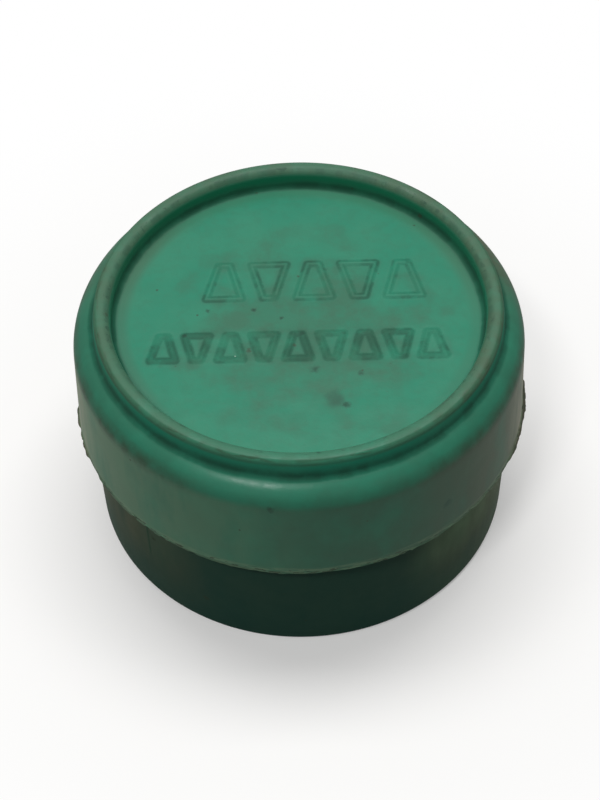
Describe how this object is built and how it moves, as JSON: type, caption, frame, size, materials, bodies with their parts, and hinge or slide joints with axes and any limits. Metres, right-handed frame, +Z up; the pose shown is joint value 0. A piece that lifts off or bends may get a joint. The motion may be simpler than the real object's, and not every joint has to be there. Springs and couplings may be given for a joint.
{
  "type": "round lidded case for a gear cutter",
  "caption": "Round moulded plastic case with a push-on lid, whose skirt overhangs the cup and whose panel lies recessed in a raised ring, made to hold a disc-shaped gear cutter.",
  "frame": {"origin": "centre of the underside of the cup, on the surface it stands on", "axes": "+Z up along the axis of the cup and the lid, -Y towards the side the picture shows"},
  "size_m": [0.0594, 0.0594, 0.0356],
  "materials": {
    "cup_plastic": "dark green moulded polyethylene, satin and worn, with grime",
    "lid_plastic": "green moulded polyethylene, satin, with scuffs, grime in the corners and rough flash at the mouth"
  },
  "bodies": {
    "cup_body": {"cup": "cup_plastic"},
    "lid_body": {"lid": "lid_plastic"}
  },
  "joints": [
    {"name": "lid_lift", "type": "slide", "parent": "cup_body", "child": "lid_body", "axis": [0, 0, 1], "range_m": [0, 0.03]}
  ]
}
